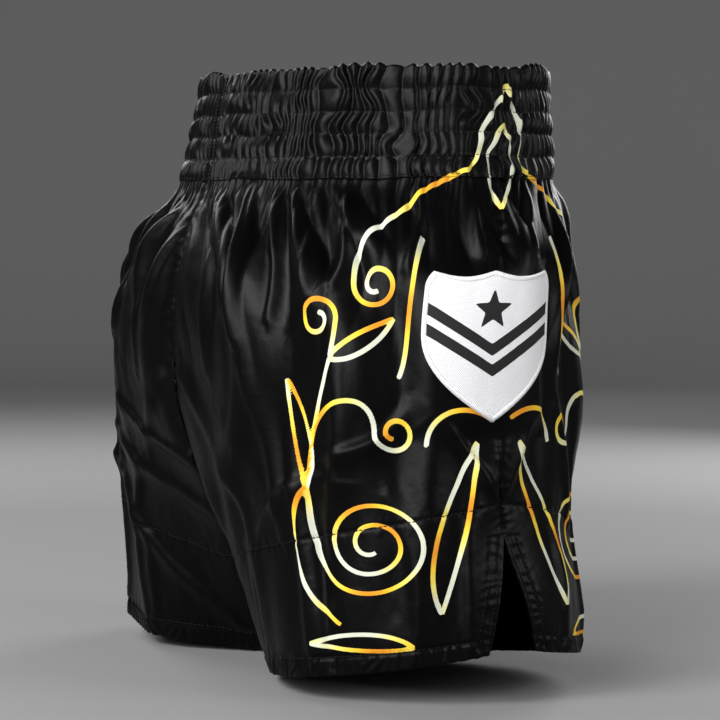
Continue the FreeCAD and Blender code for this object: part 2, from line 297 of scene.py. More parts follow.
def bezier(p0, p1, p2, p3, count=60):
    t = np.linspace(0, 1, count)[:, None]
    p0, p1, p2, p3 = (np.array(p, float) for p in (p0, p1, p2, p3))
    return (1 - t)**3 * p0 + 3 * (1 - t)**2 * t * p1 + 3 * (1 - t) * t**2 * p2 + t**3 * p3


def single_folds(side, back, z, s):
    """The listed folds. The left leg has them a little to one side, so the legs aren't copies."""
    relief = np.zeros_like(z)
    last = FOLD_POINTS - 1
    for places, half, height in BACK_FOLDS + SEAT_FOLDS[side] if back else FRONT_FOLDS:
        path = bezier(*places, count=FOLD_POINTS)
        path[:, 0] += LEFT_SHIFT if side == LEFT else 0.0
        nearest = np.full(z.shape, np.inf)
        tall = np.zeros(z.shape)
        for n in range(FOLD_POINTS):
            way = unit(path[min(n + 1, last)] - path[max(n - 1, 0)])
            ds, dz = s - path[n, 0], z - path[n, 1]
            across, along = ds * way[1] - dz * way[0], ds * way[0] + dz * way[1]
            past = np.maximum(-along if n == 0 else along, 0) if n in (0, last) else 0.0
            width = np.where(across > 0, half, half * FOLD_STEEPER)
            gap = np.hypot(ds, dz)
            closer = gap < nearest
            nearest = np.where(closer, gap, nearest)
            taper = math.sin(math.pi * (0.12 + 0.76 * n / last)) ** 0.8
            tall = np.where(closer, taper * np.exp(-(np.hypot(across, past) / width) ** 2), tall)
        relief += FOLD_GAIN * height * tall
    return relief


def seam_share(z, s, back, width):
    """1 at the back, front and inner seams, where all cloth has to meet, and 0 away from them."""
    return np.exp(-((seam_reach(z, back) - np.abs(s)) / width) ** 2)


def band_share(side, s):
    """Where places at the top of a panel are, as shares of the way round the waistband."""
    front, back = seam_reach(BODY_TOP, False), seam_reach(BODY_TOP, True)
    return (s + front) / (front + back) / 2 if side < 0 else 0.5 + (back - s) / (front + back) / 2


def folded_panel(side, back):
    """A panel's grid with its folds, which take the waistband's shape where the two are sewn together."""
    z, s = panel_labels(back)
    base = base_panel(side, back)
    fall = BODY_TOP - z
    relief = gathers(side, z, s) + single_folds(side, back, z, s)
    at_seam = seam_share(z, s, back, 16)
    relief = relief * (1 - at_seam) + 1.2 * noise1(fall / 17, 19) * at_seam - INSET
    share = band_share(side, s * seam_reach(BODY_TOP, back) / seam_reach(z, back))
    sewn = puckers(share, BODY_TOP + 0.3)[0] - 0.5
    length = 13 + 8 * noise2(s / 9 + 50, 2.5, 18 + side)
    relief += (sewn - relief) * np.exp(-(fall / length) ** 1.5)
    base[..., 2] += seam_wave(share, BODY_TOP) * np.exp(-(fall / 12) ** 2)
    return base + grid_normals(base, turn_sign(side, back)) * relief[..., None]


# ---- Where the stitched lines and the badge are ----
HEM_BAND = 12.0
SLIT_ROWS = (3.0, 10.0)
BADGE_MIDDLE = 210.0
BADGE_HEIGHT = 88.0
BADGE_HALF = 42.0
BADGE_SHIFT = 6.0
BADGE_LIFT = 1.0  # how far out of the outline the cloth lies under the badge
BADGE_HOLD = 0.86  # how much of the folds the badge flattens


def lining_top(s):
    return 68.0 + 46.0 * np.maximum(0.0, 1 - np.abs(s) / 260.0)


def groove(distance, width):
    return np.exp(-(distance / width) ** 2)


def detail(side, back, z, s):
    """Small relief on the cloth: sewn lines pull it in, and it puckers beside them."""
    inward = np.abs(s) - slit_edge(z)
    seam = np.abs(seam_reach(z, back) - np.abs(s))
    above_slit = z > SLIT_TOP
    lining = np.abs(z - lining_top(s))
    key = 5 if side == LEFT else 2
    relief = -0.9 * groove(z - HEM_BAND, 1.3) - 0.7 * groove(lining, 1.2) - 1.0 * groove(seam, 1.6)
    slit_rows = sum(0.8 * groove(inward - row, 1.0) for row in SLIT_ROWS)
    relief -= np.where(above_slit, 1.0 * groove(inward, 1.5), slit_rows)
    ripple = np.sin(2 * np.pi * (s / 6.5 + 0.8 * noise2(s / 9 + 60, z / 9, 31 + key)))
    relief += ripple * (0.55 * groove(np.maximum(0, z - 2) - 4, 9) + 0.3 * groove(lining, 6))
    climb = np.sin(2 * np.pi * (z / 8 + 0.8 * noise2(s / 12 + 60, z / 12, 33 + key)))
    relief += 0.35 * climb * (groove(seam, 7) + np.where(above_slit, groove(inward, 6), groove(inward - 6, 6)))
    return relief + 0.2 * noise2(s / 6 + 40, z / 10, 34 + key) + 0.07 * noise2(s / 2.6 + 40, z / 4, 35 + key)


def badge_weight(z, s):
    """1 under the badge, falling to 0 just past its edge."""
    across = (np.abs(s - BADGE_SHIFT) - BADGE_HALF) / 22
    up = (np.abs(z - BADGE_MIDDLE) - BADGE_HEIGHT / 2) / 18
    return 1 - smooth(np.maximum(np.maximum(across, up) + 0.35, 0))


def finished_panel(side, back):
    """A panel's grid with its folds, a flat place under the badge, its sewn lines and closed middle seams."""
    z, s = panel_labels(back)
    sign = turn_sign(side, back)
    flat = base_panel(side, back)
    flat += grid_normals(flat, sign) * BADGE_LIFT
    w = BADGE_HOLD * badge_weight(z, s)[..., None]
    grid = folded_panel(side, back) * (1 - w) + flat * w
    grid += grid_normals(grid, sign) * detail(side, back, z, s)[..., None] * (1 - 1.1 * w)
    grid[..., 0] -= grid[:, -1:, 0] * seam_share(z, s, back, 6) * smooth((z - CROTCH + 6) / 6)
    grid[..., 0] = side * np.maximum(side * grid[..., 0], 0.0)
    grid[..., 2] = np.maximum(grid[..., 2], 0.0)
    return grid


class Cloth:
    """The finished cloth, which gives a point and an outward direction for any place on it."""

    def __init__(self):
        self.points, self.normals, self.prints = {}, {}, {}
        for _, back in FACES:
            for _, side in SIDES:
                grid = finished_panel(side, back)
                self.points[side, back] = grid
                self.normals[side, back] = grid_normals(grid, turn_sign(side, back))
            self.prints[back] = print_on(*panel_labels(back))

    def at(self, side, z, s):
        """Points and normals at arrays of places on one leg."""
        z, s = np.broadcast_arrays(np.asarray(z, float), np.asarray(s, float))
        points, normals = np.zeros(z.shape + (3,)), np.zeros(z.shape + (3,))
        for _, back in FACES:
            chosen = (s >= 0) == back
            near, far = slit_edge(z[chosen]), seam_reach(z[chosen], back)
            c = np.clip((np.abs(s[chosen]) - near) / (far - near), 0, 1) * (COLUMNS - 1)
            r = np.clip((BODY_TOP - z[chosen]) / BODY_TOP, 0, 1) * (ROWS - 1)
            i, j = np.minimum(r.astype(int), ROWS - 2), np.minimum(c.astype(int), COLUMNS - 2)
            u, v = (r - i)[:, None], (c - j)[:, None]
            for source, target in ((self.points, points), (self.normals, normals)):
                grid = source[side, back]
                target[chosen] = ((grid[i, j] * (1 - v) + grid[i, j + 1] * v) * (1 - u)
                                  + (grid[i + 1, j] * (1 - v) + grid[i + 1, j + 1] * v) * u)
        return points, unit(normals)


# ---- Print ----
PRINT_HALF = 1.55
PRINT_END = 0.4  # how far a line runs past its last point
PRINT_STEP = 0.6
PRINT_REACH, PRINT_TOP = 160.0, 372.0
BARE = -9.0  # the print attribute away from every line


def spiral(centre, outer, inner, start, turns, count=260):
    """A volute from its outer end at angle start to its inner end, angles in degrees."""
    t = np.linspace(0, 1, count)
    angle = np.radians(start + 360 * turns * t)
    radius = outer + (inner - outer) * t
    return np.stack([centre[0] + radius * np.cos(angle), centre[1] + radius * np.sin(angle)], -1)


def leaf(tip, foot, *bulges):
    """Two curves from a pointed tip down to the foot."""
    tip, foot = np.array(tip, float), np.array(foot, float)
    run = foot - tip
    out = np.array([-run[1], run[0]]) / np.hypot(*run)
    return [bezier(tip, tip + run * 0.30 + out * bulge, tip + run * 0.78 + out * bulge * 1.3, foot)
            for bulge in bulges]


def print_lines():
    """The printed scrollwork's centre lines as (distance, height) for one side; it mirrors at the side seam."""
    arch = np.concatenate([bezier((0, 367), (8, 352), (18, 342), (17, 326)),
                           bezier((17, 326), (16, 308), (44, 314), (62, 292)),
                           bezier((62, 292), (74, 282), (94, 272), (92, 248)),
                           spiral((78, 248), 14, 4, 0, -1.3, 90)])
    stem = np.concatenate([spiral((112, 226), 13, 4, 180, -1.2, 80)[::-1],
                           bezier((99, 226), (99, 190), (136, 140), (121, 88)),
                           spiral((84, 88), 37, 6, 0, -2.3)])
    tendril = np.concatenate([bezier((117, 158), (110, 180), (77, 190), (77, 160)),
                              spiral((65, 160), 12, 4, 0, -1.2, 60)])
    lines = [arch, stem, tendril]
    lines.append(bezier((0, 342), (13, 326), (12, 306), (0, 292)))
    lines.append(bezier((51, 276), (60, 248), (52, 214), (62, 192)))
    lines += leaf((66, 228), (103, 203), 3, -9)
    lines += leaf((138, 190), (124, 126), 2, -12)
    lines += leaf((14, 154), (45, 36), 16, -2)
    lines.append(bezier((7, 168), (24, 179), (45, 172), (47, 152)))
    lines += leaf((126, 22), (62, 14), -10, 3)
    lines.append(bezier((124, 127), (140, 112), (140, 58), (106, 34)))
    return lines


def print_tree():
    """A lookup from a place to the nearest point of the print's centre lines, and for each point its place,
    its tone and, at a line's ends, the direction out of the line."""
    samples = []
    for n, line in enumerate(print_lines()):
        travel = distance_along(line)
        count = max(4, int(travel[-1] / PRINT_STEP))
        d = np.linspace(0, travel[-1], count)
        x, y = between(line, travel, d).T
        tone = 0.5 + 0.5 * np.sin(d / 17 + n * 2.1)
        ends = np.zeros(count)
        ends[0], ends[-1] = -1, 1
        samples += list(zip(x, y, tone, np.gradient(x) * ends, np.gradient(y) * ends))
    tree = kdtree.KDTree(len(samples))
    for n, item in enumerate(samples):
        tree.insert((item[0], item[1], 0), n)
    tree.balance()
    return tree, np.array(samples)


def between(values, travel, d):
    """A line's values at distances d, from its values at the distances travel."""
    return np.stack([np.interp(d, travel, column) for column in values.T], -1)


PRINT_TREE, PRINT_POINTS = print_tree()


def print_on(z, s):
    """How far inside a printed line each place is, and the line's tone there."""
    inside, tone = np.full(z.shape, BARE), np.zeros(z.shape)
    for i, j in np.argwhere((np.abs(s) < PRINT_REACH) & (z < PRINT_TOP)):
        x, y = abs(s[i, j]), z[i, j]
        _, n, gap = PRINT_TREE.find((x, y, 0))
        if gap > 7:
            continue
        px, py, tone[i, j], out_x, out_y = PRINT_POINTS[n]
        inside[i, j] = PRINT_HALF - gap
        past = (x - px) * out_x + (y - py) * out_y
        if past > 0:
            past /= math.hypot(out_x, out_y)
            inside[i, j] = min(PRINT_HALF - math.sqrt(max(0.0, gap * gap - past * past)), PRINT_END - past)
    return inside, tone


# ---- Meshes ----
def mesh_piece(name, points, faces, material, nodes, attributes=None, smooth_faces=True):
    """A piece of the visual model, which takes the place of the CAD nodes listed."""
    mesh = bpy.data.meshes.new(name)
    points = np.asarray(points, float).reshape(-1, 3) * MM
    mesh.vertices.add(len(points))
    mesh.vertices.foreach_set("co", points.ravel().astype(np.float32))
    mesh.loops.add(faces.size)
    mesh.loops.foreach_set("vertex_index", faces.ravel().astype(np.int32))
    mesh.polygons.add(len(faces))
    mesh.polygons.foreach_set("loop_start", (np.arange(len(faces)) * faces.shape[1]).astype(np.int32))
    mesh.update(calc_edges=True)
    for key, values in (attributes or {}).items():
        layer = mesh.attributes.new(key, "FLOAT", "POINT")
        layer.data.foreach_set("value", np.asarray(values, np.float32).ravel())
    mesh.polygons.foreach_set("use_smooth", np.full(len(faces), smooth_faces))
    mesh.materials.append(material)
    piece = bpy.data.objects.new(name, mesh)
    bpy.context.scene.collection.objects.link(piece)
    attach(piece, "root")
    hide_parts(*nodes)
    return piece


def grid_faces(rows, columns, sign=1, wrap=False, first=0):
    i, j = np.meshgrid(np.arange(rows - 1), np.arange(columns if wrap else columns - 1), indexing="ij")
    a, b = i * columns + j, i * columns + (j + 1) % columns
    c, d = b + columns, a + columns
    order = (a, b, c, d) if sign > 0 else (d, c, b, a)
    return np.stack(order, -1).reshape(-1, 4) + first


def outward_sign(corner, normal):
    """1 if a grid's columns crossed with its rows point along the normal, or else -1."""
    across, down = corner[0, 1] - corner[0, 0], corner[1, 0] - corner[0, 0]
    return 1 if np.dot(np.cross(across, down), normal) > 0 else -1


def thick_sheet(points, normals, thick, sign, edge_steps=1):
    """Points and faces of a closed sheet, from a grid on its outer face. One edge step leaves its edge square,
    and more make it round."""
    rows, columns = points.shape[:2]
    count = rows * columns
    away = np.zeros_like(points)
    away[0] += points[0] - points[1]
    away[-1] += points[-1] - points[-2]
    away[:, 0] += points[:, 0] - points[:, 1]
    away[:, -1] += points[:, -1] - points[:, -2]
    index = np.arange(count).reshape(rows, columns)
    loop = np.concatenate([index[0, :-1], index[:-1, -1], index[-1, :0:-1], index[:0:-1, 0]])
    edge, normal, out = (grid.reshape(-1, 3)[loop] for grid in (points, normals, away))
    out = unit(out - normal * np.sum(out * normal, axis=1, keepdims=True))
    radius = thick / 2
    parts = [points.reshape(-1, 3), (points - normals * thick).reshape(-1, 3)]
    rings = [loop]
    for a in np.linspace(0, math.pi, edge_steps + 1)[1:-1]:
        rings.append(np.arange(len(loop)) + sum(len(part) for part in parts))
        parts.append(edge + out * radius * math.sin(a) - normal * radius * (1 - math.cos(a)))
    rings.append(loop + count)
    faces = [grid_faces(rows, columns, sign), grid_faces(rows, columns, -sign, first=count)]
    for near, far in zip(rings, rings[1:]):
        strip = np.stack([near, far, np.roll(far, -1), np.roll(near, -1)], -1)
        faces.append(strip if sign > 0 else strip[:, ::-1])
    return np.concatenate(parts), np.concatenate(faces)


# ---- Materials ----
class Nodes:
    """Short calls for building a material's nodes."""

    def __init__(self, name):
        self.material = bpy.data.materials.new(name)
        self.material.use_nodes = True
        self.tree = self.material.node_tree
        self.shader = self.tree.nodes["Principled BSDF"]

    def feed(self, socket, value):
        """Give a socket a number, a colour or another node's output."""
        if isinstance(value, tuple):
            socket.default_value = (*value, 1)
        elif isinstance(value, (int, float)):
            socket.default_value = value
        else:
            self.tree.links.new(value, socket)

    def add(self, kind, inputs=(), **settings):
        """A new node with its settings, and its inputs as pairs of a socket and a value."""
        node = self.tree.nodes.new(kind)
        for key, value in settings.items():
            setattr(node, key, value)
        for socket, value in inputs:
            self.feed(node.inputs[socket], value)
        return node

    def place(self):
        return self.add("ShaderNodeTexCoord").outputs["Object"]

    def attribute(self, name):
        return self.add("ShaderNodeAttribute", attribute_name=name).outputs["Fac"]

    def math(self, operation, a, b=0.0, clamp=False):
        return self.add("ShaderNodeMath", ((0, a), (1, b)), operation=operation, use_clamp=clamp).outputs[0]

    def noise(self, scale, detail=2.0):
        inputs = (("Scale", scale), ("Detail", detail), ("Vector", self.place()))
        return self.add("ShaderNodeTexNoise", inputs).outputs["Fac"]

    def ribs(self, direction, scale, distortion):
        inputs = (("Scale", scale), ("Distortion", distortion), ("Vector", self.place()))
        return self.add("ShaderNodeTexWave", inputs, bands_direction=direction).outputs["Fac"]

    def ramp(self, value, *stops):
        node = self.add("ShaderNodeValToRGB", ((0, value),))
        while len(node.color_ramp.elements) < len(stops):
            node.color_ramp.elements.new(0.5)
        for element, (position, colour) in zip(node.color_ramp.elements, stops):
            element.position = position
            element.color = (*colour, 1)
        return node.outputs[0]

    def mix(self, factor, a, b):
        return self.add("ShaderNodeMix", (("Factor", factor), (6, a), (7, b)), data_type="RGBA").outputs[2]

    def bump(self, height, distance, strength, under=None):
        inputs = [("Distance", distance), ("Strength", strength), ("Height", height)]
        if under is not None:
            inputs.append(("Normal", under))
        return self.add("ShaderNodeBump", inputs).outputs[0]

    def finish(self, colour, roughness, normal=None, **constants):
        self.feed(self.shader.inputs["Base Color"], colour)
        self.feed(self.shader.inputs["Roughness"], roughness)
        if normal is not None:
            self.feed(self.shader.inputs["Normal"], normal)
        for key, value in constants.items():
            self.shader.inputs[key.replace("_", " ")].default_value = value
        return self.material


BLACK, BLACK_WORN = (0.0007, 0.0007, 0.0009), (0.0016, 0.0016, 0.0019)
ORANGE_GOLD = (0.66, 0.25, 0.02)
GOLD = (0.74, 0.48, 0.033)
PALE_GOLD = (0.70, 0.62, 0.14)
SILVER = (0.56, 0.58, 0.47)
# the white twill's two colours hold painted shade: the darker one goes in the grooves between its ribs, the
# lighter one on their crests
TWILL_LIT_CREST, TWILL_SHADED_GROOVE, TWILL_INK = (0.74, 0.74, 0.75), (0.57, 0.57, 0.59), (0.012, 0.012, 0.013)
STITCH_PITCH = 0.9  # of the badge border's satin stitch


def satin_material():
    """Black satin with the printed lines, which are inked where the print attribute is above zero."""
    n = Nodes("black_satin")
    inked = n.math("MULTIPLY", n.attribute("print"), 6.0, clamp=True)
    ink = n.ramp(n.attribute("tone"), (0.0, ORANGE_GOLD), (0.15, GOLD), (0.5, PALE_GOLD), (0.85, SILVER),
                 (1.0, SILVER))
    grain, cloudy = n.noise(2600, 1.0), n.noise(60, 3.0)
    rough = n.math("ADD", n.math("MULTIPLY", grain, 0.08), n.math("MULTIPLY", cloudy, 0.06))
    rough = n.math("ADD", rough, 0.30)
    rough = n.math("ADD", rough, n.math("MULTIPLY", inked, 0.16))
    soft = n.bump(n.noise(420, 2.0), 0.0004, 0.25, n.bump(grain, 0.00012, 0.5))
    colour = n.mix(inked, n.mix(cloudy, BLACK, BLACK_WORN), ink)
    return n.finish(colour, rough, soft, Specular_IOR_Level=0.075, Sheen_Weight=0.001, Sheen_Roughness=0.35,
                    Anisotropic=0.25)


def thread_material():
    n = Nodes("black_thread")
    twist = n.noise(3000, 2.0)
    # painted shade: the thread is darker where its twist bump is low and lighter where it is high
    colour = n.mix(twist, (0.003, 0.003, 0.0035), (0.009, 0.009, 0.010))
    return n.finish(colour, 0.5, n.bump(twist, 0.0001, 0.6), Specular_IOR_Level=0.1, Sheen_Weight=0.01)


def twill_material():
    """White twill: fine diagonal ribs with painted shade, darker in their grooves and lighter on their crests,
    slightly cloudy, and black where the ink attribute is above zero.
    """
    n = Nodes("white_twill")
    ribs = n.ribs("DIAGONAL", 420, 0.6)
    inked = n.math("MULTIPLY", n.attribute("ink"), 5.0, clamp=True)
    colour = n.mix(inked, n.mix(ribs, TWILL_SHADED_GROOVE, TWILL_LIT_CREST), TWILL_INK)
    height = n.math("ADD", ribs, n.math("MULTIPLY", n.noise(90, 3.0), 0.7))
    return n.finish(colour, 0.62, n.bump(height, 0.00025, 0.6), Specular_IOR_Level=0.15, Sheen_Weight=0.03)


def satin_stitch_material():
    """White satin stitch: close ribs across the border, by the distance round it, with painted shade in its
    colour: darker in the grooves between the stitches, lighter on their crests.
    """
    n = Nodes("white_satin_stitch")
    ribs = n.math("SINE", n.math("MULTIPLY", n.attribute("round"), 2 * math.pi / STITCH_PITCH))
    # painted shade: darker where the ribs are low, lighter on their crests
    colour = n.ramp(n.math("ADD", n.math("MULTIPLY", ribs, 0.5), 0.5), (0.0, (0.62, 0.62, 0.64)),
                    (0.6, (0.82, 0.82, 0.83)))
    return n.finish(colour, 0.4, n.bump(ribs, 0.0002, 0.8), Specular_IOR_Level=0.5, Sheen_Weight=0.2)


def elastic_material():
    n = Nodes("black_elastic")
    ribs = n.ribs("Z", 300, 0.0)
    # painted shade: the elastic is darker in the grooves between its ribs and lighter on their crests
    colour = n.mix(ribs, (0.01, 0.01, 0.01), (0.03, 0.03, 0.03))
    return n.finish(colour, 0.7, n.bump(ribs, 0.0003, 0.6), Specular_IOR_Level=0.3)


SATIN = satin_material()
THREAD = thread_material()
TWILL = twill_material()
STITCHED = satin_stitch_material()
ELASTIC = elastic_material()


# ---- Body panels and the layers inside them ----
CLOTH_THICK = 1.0
EDGE_STEPS = 5
LINING_OUT, FACING_OUT, SIDE_OUT, SEAM_OUT = -1.2, -1.75, -1.15, -1.6  # from the panels' outer face
LAYER_THICK, SEAM_THICK = 0.4, 0.8
FACING_WIDTH, SEAM_WIDTH, SIDE_HALF = 13.0, 7.0, 5.0


def build_panel(cloth, word, side, face, back):
    points, faces = thick_sheet(cloth.points[side, back], cloth.normals[side, back], CLOTH_THICK,
                                turn_sign(side, back), EDGE_STEPS)
    inside, tone = (np.concatenate([values.ravel(), np.full(len(points) - values.size, bare)])
                    for values, bare in zip(cloth.prints[back], (BARE, 0.0)))
    name = f"{word}_{face}_panel"
    piece = mesh_piece("satin_" + name, points, faces, SATIN, [name], {"print": inside, "tone": tone})


def inner_layer(cloth, node, patches, out, thick):
    """One piece made of strips that follow the cloth. Each patch is (side, z grid, s grid)."""
    points, faces, count = [], [], 0
    for side, z, s in patches:
        p, n = cloth.at(side, z, s)
        p = p + n * out
        new_points, new_faces = thick_sheet(p, n, thick, outward_sign(p, n[0, 0]))
        points.append(new_points)
        faces.append(new_faces + count)
        count += len(new_points)
    return mesh_piece("satin_" + node, np.concatenate(points), np.concatenate(faces), SATIN, [node])


def facing_patch(back):
    z = np.linspace(SLIT_TOP - 3, 0.8, 60)[:, None] + np.zeros(8)
    s = slit_edge(z) + 0.3 + np.linspace(0, FACING_WIDTH, 8)
    return z, s if back else -s


def lining_patch(back):
    share = np.linspace(0, 1, 150)[None, :]
    down = np.linspace(0, 1, 46)[:, None]
    near, far = slit_edge(40.0) + 0.6, seam_reach(40.0, back) - 1.0
    top = lining_top(near + (far - near) * share)
    z = top + (0.7 - top) * down
    near, far = slit_edge(z) + 0.6, seam_reach(z, back) - 1.0
    s = near + (far - near) * share
    return z, s if back else -s


def seam_patch(high, low, back):
    z = np.linspace(high, low, 120)[:, None] + np.zeros(6)
    s = seam_reach(z, back) - 0.2 - np.linspace(SEAM_WIDTH, 0, 6)
    return z, s if back else -s


def side_patch():
    heights = np.linspace(BODY_TOP - 1, SLIT_TOP + 5, 120)
    return np.meshgrid(heights, np.linspace(-SIDE_HALF, SIDE_HALF, 8), indexing="ij")


# ---- Stitches ----
STITCH_SIDES = 6
STITCH_RINGS = np.array([-0.5, -0.38, -0.15, 0.15, 0.38, 0.5])
STITCH_FULL = np.array([0.2, 0.8, 1.0, 1.0, 0.8, 0.2])


def capsule_faces():
    faces, last = [], (len(STITCH_RINGS) - 1) * STITCH_SIDES
    for k in range(len(STITCH_RINGS) - 1):
        for j in range(STITCH_SIDES):
            a, b = k * STITCH_SIDES + j, k * STITCH_SIDES + (j + 1) % STITCH_SIDES
            faces += [(a, b, b + STITCH_SIDES), (a, b + STITCH_SIDES, a + STITCH_SIDES)]
    for j in range(1, STITCH_SIDES - 1):
        faces += [(0, j + 1, j), (last, last + j, last + j + 1)]
    return np.array(faces)


def stitches(name, node, runs, pitch=3.0, length=2.3, radius=0.3, crosswise=False):
    """Thread capsules along lines on the cloth. A run is the points of a line and the outward directions
    there. Crosswise stitches lie square to the line."""
    every = []
    for points, normals in runs:
        travel = distance_along(points)
        at = np.arange(pitch / 2, travel[-1] - pitch / 2, pitch)
        middle, normal = between(points, travel, at), between(normals, travel, at)
        reach = min(length, pitch) / 2
        along = unit(between(points, travel, at + reach) - between(points, travel, at - reach))
        across = unit(np.cross(normal, along))
        if crosswise:
            along, across = across, -along
        normal = np.cross(along, across)
        rings = []
        for place, full in zip(STITCH_RINGS, STITCH_FULL):
            lift = radius * (0.75 - 3.2 * place ** 2)
            centre = middle + along * length * place + normal * lift
            for a in np.arange(STITCH_SIDES) * 2 * np.pi / STITCH_SIDES:
                rings.append(centre + radius * full * (across * math.cos(a) + normal * math.sin(a)))
        every.append(np.stack(rings, 1).reshape(-1, 3))
    points = np.concatenate(every)
    size = len(STITCH_RINGS) * STITCH_SIDES
    faces = (np.arange(len(points) // size)[:, None, None] * size + capsule_faces()).reshape(-1, 3)
    mesh_piece(name, points, faces, THREAD, [node])


# ---- Waistband ----
PUCKERS = 102  # round the waistband, a multiple of 6
BAND_COLUMNS = 1200
BAND_ROWS = 74
BAND_TOP = HEIGHT - 1.9
BAND_LOW = BODY_TOP - 0.4
INNER_DEPTH = 4.6
INNER_ROWS = 32
LIP_DEPTH = 3.6
RIM_STEPS = 8
BAND_INSET = 2.5  # how far inside the outline the waistband's valleys are
JOIN_COLUMN = BAND_COLUMNS // 2  # at the middle of the back
JOIN_DEPTH = 6.6  # of the strip behind the closing seam
JOIN_THICK = 0.6
JOIN_HALF = 8  # columns from the strip's middle to its edge
JOIN_STITCHES = 5  # columns from the strip's middle to its stitches
ELASTIC_OUT, ELASTIC_IN = 2.8, 4.0
ELASTIC_HEIGHT = 11.0
ELASTIC_COLUMNS = 300
UNPRINTED = HEIGHT + 9  # a height above all of the print


def band_noise(f, cell, level, seed):
    """Noise round the waistband, with cells as wide as so many puckers."""
    return noise2(f * PUCKERS / cell, level, seed, int(PUCKERS / cell))


def puckers(f, z):
    """The waistband's gathers at shares f of the way round: height out of the outline, sideways lean, and how
    far the cloth there is tucked out of its flat place."""
    level = (HEIGHT - z) / CHANNEL
    belly = max(0.0, math.sin(math.pi * (level - math.floor(level)))) ** 0.7
    drift = 0.6 * band_noise(f, 3, 0.5, 41) + 0.55 * band_noise(f, 2, level * 1.1, 42)
    crowd = PUCKERS * 0.09 * np.sin(4 * np.pi * (f - 0.24)) / (4 * np.pi)
    phase = f * PUCKERS - crowd + drift
    strength = 0.68 + 0.45 * band_noise(f, 2, level * 0.8 + 3, 43)
    ridge = np.abs(np.sin(np.pi * phase)) ** 0.7
    height = 0.55 * belly + (2.7 + 0.9 * belly) * strength * ridge
    height += 0.8 * band_noise(f, 6, level * 0.6, 44) * belly + 0.1 * band_noise(f, 0.5, level * 3, 45)
    height *= 1 - 0.7 * groove(f - 0.5, 0.008)
    lean = 1.2 * band_noise(f, 2, level * 1.5 + 9, 46)
    lean += 0.7 * belly * strength * np.sin(2 * np.pi * phase + 0.8)
    return np.maximum(height, 0.0) - BAND_INSET, lean, 1.6 * strength * np.sin(2 * np.pi * phase)


def seam_wave(f, z):
    """How far the waistband's rows of stitching wander up and down."""
    return 1.3 * band_noise(f, 3, (HEIGHT - z) / 20, 48)


class BandRow:
    """The waistband at one height, from the middle of the front round the right side: shares of the way round,
    distances from the side seam, base points, outward and forward directions, and puckers."""

    def __init__(self, z, columns=BAND_COLUMNS):
        self.f = np.arange(columns) / columns
        right = self.f < 0.5
        front, back = seam_reach(z, False), seam_reach(z, True)
        self.s = np.where(right, -front + 2 * self.f * (front + back), back - (2 * self.f - 1) * (front + back))
        self.base = np.where(right[:, None], outline(RIGHT, z, self.s), outline(LEFT, z, self.s))
        forward = np.roll(self.base, -1, 0) - np.roll(self.base, 1, 0)
        forward[:, 2] = 0
        self.forward = unit(forward)
        self.outward = np.cross(np.array([0, 0, 1.0]), self.forward)
        self.height, self.lean, self.tuck = puckers(self.f, z)
        self.wave = seam_wave(self.f, z)

    def out(self, distance, rise=0.0):
        """The row's points at a distance outward, raised and without its sideways lean."""
        row = self.base + self.outward * np.reshape(distance, (-1, 1))
        row[:, 2] += rise
        return row

    def leaning(self, distance, rise=0.0):
        return self.out(distance, rise) + self.forward * self.lean[:, None]


def waistband_outer():
    """The outer cloth, from inside the rim over the top and down to a lip under the waist seam."""
    top, low = BandRow(BAND_TOP), BandRow(BAND_LOW)
    radius, middle = (top.height + INNER_DEPTH) / 2, (top.height - INNER_DEPTH) / 2
    rim = 0.9 * band_noise(top.f, 3, 7.5, 47) + 0.5 * (top.height + BAND_INSET) - 0.6
    rows = []
    for a in np.linspace(math.pi, 0, RIM_STEPS + 1)[:-1]:
        rise = (radius * 0.8 + rim) * math.sin(a) + top.wave
        rows.append((top.leaning(middle + radius * math.cos(a), rise), UNPRINTED, top.s))
    for z in np.linspace(BAND_TOP, BAND_LOW, BAND_ROWS):
        row = BandRow(z)
        rows.append((row.leaning(row.height, row.wave), z, row.s + row.tuck))
    for share in (0.3, 0.65, 1.0):
        rise = low.wave - 0.9 * math.sin(math.pi / 2 * share)
        rows.append((low.out(low.height - (LIP_DEPTH + low.height) * share, rise), UNPRINTED, low.s))
    inside, tone = print_on(np.stack([np.full(BAND_COLUMNS, z) for _, z, _ in rows]),
                            np.stack([s for _, _, s in rows]))
    return np.stack([row for row, _, _ in rows]), inside, tone


def build_waistband():
    grid, inside, tone = waistband_outer()
    outer = mesh_piece("satin_waistband_outer", grid, grid_faces(len(grid), BAND_COLUMNS, 1, wrap=True), SATIN,
                       ["waistband_casing"], {"print": inside, "tone": tone})
    columns = BAND_COLUMNS // 2
    rows = [grid[0, ::2]]
    for z in np.linspace(BAND_TOP - 2, BODY_TOP + 0.3, INNER_ROWS):
        row = BandRow(z, columns)
        rows.append(row.leaning(-INNER_DEPTH - 0.3 * (row.height + BAND_INSET)))
    inner = mesh_piece("satin_waistband_inner", np.stack(rows), grid_faces(len(rows), columns, -1, wrap=True),
                       SATIN, ["waistband_casing"])


def band_stitching():
    """The thread between the channels, and one row just above the waist seam."""
    runs = []
    for k in (*range(1, CHANNELS), CHANNELS - 0.12):
        row = BandRow(HEIGHT - k * CHANNEL)
        points = row.leaning(row.height + 0.05, row.wave)
        runs.append((np.concatenate([points, points[:1]]), np.concatenate([row.outward, row.outward[:1]])))
    stitches("waistband_thread", "waistband_stitching", runs, pitch=2.9, length=2.2, radius=0.24)


